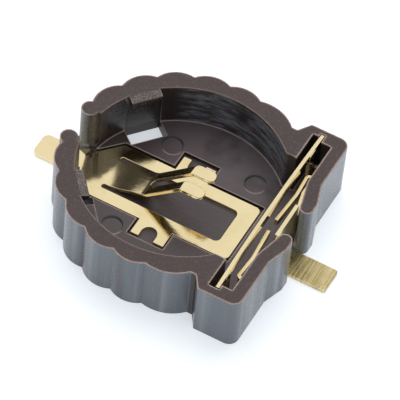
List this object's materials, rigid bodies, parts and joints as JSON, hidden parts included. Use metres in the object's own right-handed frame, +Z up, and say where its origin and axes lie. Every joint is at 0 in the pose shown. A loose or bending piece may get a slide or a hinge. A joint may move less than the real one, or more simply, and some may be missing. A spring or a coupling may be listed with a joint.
{
  "type": "coin cell holder",
  "caption": "Board-mounted round holder for a coin cell: scalloped moulded ring with retaining lugs, a sprung tongue contact on its floor and a leaf contact in a side slot.",
  "frame": {"origin": "on the board plane, on the axis of the round cell space", "axes": "+Z up out of the board, +X towards the positive solder tab, -X towards the negative solder tab, +Y across the tabs"},
  "size_m": [0.02, 0.015, 0.0039],
  "materials": {
    "moulded_plastic": "dark brown glass-filled moulding, satin",
    "gold_plate": "thin gold plate over a copper alloy sheet, bright"
  },
  "bodies": {
    "root": {"housing": "moulded_plastic", "negative_contact": "gold_plate", "positive_contact": "gold_plate"}
  },
  "joints": []
}
